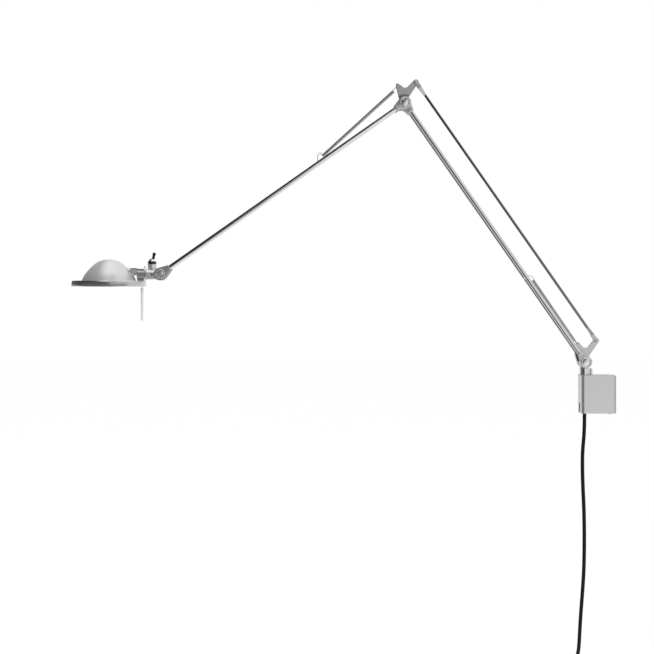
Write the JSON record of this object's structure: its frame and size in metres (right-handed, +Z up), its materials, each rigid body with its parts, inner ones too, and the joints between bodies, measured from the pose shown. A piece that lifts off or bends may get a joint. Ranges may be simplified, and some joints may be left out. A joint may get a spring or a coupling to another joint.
{
  "type": "articulating wall lamp",
  "caption": "Wall-mounted task lamp: a spring-balanced arm of double tubes swivels on a small box and carries a shallow domed head.",
  "frame": {"origin": "middle of the back face of the wall plate, on the wall", "axes": "+X points into the wall, +Z up, the arm reaches out along -X"},
  "size_m": [0.7911, 0.1134, 0.9851],
  "materials": {
    "box_paint": "satin silver-grey powder coat",
    "cast_grey": "fine-blasted casting, satin",
    "satin_tube": "satin anodised tube",
    "bright_steel": "polished",
    "spring_steel": "bright drawn wire",
    "rod_steel": "drawn rod",
    "head_paint": "satin silver-grey",
    "inner_reflector": "bright etched",
    "black_rubber": "matt flex",
    "black_plastic": "moulded",
    "white_plastic": "moulded",
    "ceramic": "glazed ceramic",
    "bronze": "sintered bronze",
    "nylon": "nylon",
    "clear_glass": "clear",
    "brass_pins": "nickel-plated"
  },
  "bodies": {
    "wall_box": {"wall_plate": "cast_grey", "box_shell": "box_paint", "box_screws": "bright_steel", "spindle_bushes": "bronze", "stop_pin": "bright_steel", "terminal_block": "white_plastic", "box_leads": "black_rubber", "cord_grommet": "black_plastic", "cord_hang": "black_rubber", "cord_coil": "black_rubber", "coil_tie": "black_plastic", "cord_tail": "black_rubber", "plug_body": "black_plastic", "plug_pins": "brass_pins"},
    "swivel": {"spindle": "bright_steel", "spindle_clip": "spring_steel", "base_bracket": "cast_grey", "base_pin": "bright_steel", "base_caps": "bright_steel", "base_washers": "nylon"},
    "lower_arm": {"lower_tube_far": "satin_tube", "lower_tube_near": "satin_tube", "lower_lead": "black_rubber", "foot_cheeks": "cast_grey", "lower_elbow_cheeks": "cast_grey", "lower_spring_bail": "rod_steel", "stop_buffer": "black_rubber", "lower_spring": "spring_steel"},
    "rod": {"link_rod": "rod_steel", "rod_forks": "cast_grey", "rod_pins": "bright_steel"},
    "elbow": {"elbow_bracket": "cast_grey", "elbow_pin": "bright_steel", "elbow_caps": "bright_steel", "elbow_washers": "nylon"},
    "upper_arm": {"upper_tube_far": "satin_tube", "upper_tube_near": "satin_tube", "upper_lead": "black_rubber", "upper_elbow_cheeks": "cast_grey", "head_cheeks": "cast_grey", "upper_spring_bail": "rod_steel", "head_pin": "bright_steel", "head_caps": "bright_steel", "upper_spring": "spring_steel"},
    "neck": {"neck_barrel": "cast_grey", "switch_body": "cast_grey", "switch_nut": "bright_steel"},
    "lever": {"switch_lever": "black_plastic"},
    "head": {"roll_flange": "cast_grey", "holder_block": "cast_grey", "holder_stem": "cast_grey", "holder_cover": "bright_steel", "rim_ring": "head_paint", "dome": "head_paint", "reflector": "inner_reflector", "lens_glass": "clear_glass", "lampholder": "ceramic", "bulb": "clear_glass", "handle_pin": "rod_steel"}
  },
  "joints": [
    {"name": "box_swivel", "type": "hinge", "parent": "wall_box", "child": "swivel", "pos_m": [-0.0429, 0, 0.03], "axis": [0, 0, 1], "range_deg": [-85, 85]},
    {"name": "lower_arm_tilt", "type": "hinge", "parent": "swivel", "child": "lower_arm", "pos_m": [-0.0429, 0, 0.0465], "axis": [0, -1, 0], "range_deg": [-28, 35], "deforming": ["lower_spring"]},
    {"name": "rod_swing", "type": "hinge", "parent": "swivel", "child": "rod", "pos_m": [-0.0257, 0, 0.0775], "axis": [0, -1, 0], "range_deg": [-28, 35]},
    {"name": "elbow_level", "type": "hinge", "parent": "lower_arm", "child": "elbow", "pos_m": [-0.30609, 0, 0.42377], "axis": [0, 1, 0], "range_deg": [-28, 35]},
    {"name": "upper_arm_tilt", "type": "hinge", "parent": "elbow", "child": "upper_arm", "pos_m": [-0.30609, 0, 0.42377], "axis": [0, 1, 0], "range_deg": [-22, 50], "deforming": ["upper_spring"]},
    {"name": "head_tilt", "type": "hinge", "parent": "upper_arm", "child": "neck", "pos_m": [-0.66129, 0, 0.1744], "axis": [0, 1, 0], "range_deg": [-75, 80]},
    {"name": "head_roll", "type": "hinge", "parent": "neck", "child": "head", "pos_m": [-0.68, 0, 0.174], "axis": [1, 0, 0], "range_deg": [-90, 90]},
    {"name": "switch_toggle", "type": "hinge", "parent": "neck", "child": "lever", "pos_m": [-0.674, 0, 0.189], "axis": [0, 1, 0], "range_deg": [-23, 0]}
  ],
  "couplings": [
    {"joint": "rod_swing", "follows": "lower_arm_tilt", "ratio": 1},
    {"joint": "elbow_level", "follows": "lower_arm_tilt", "ratio": 1}
  ]
}
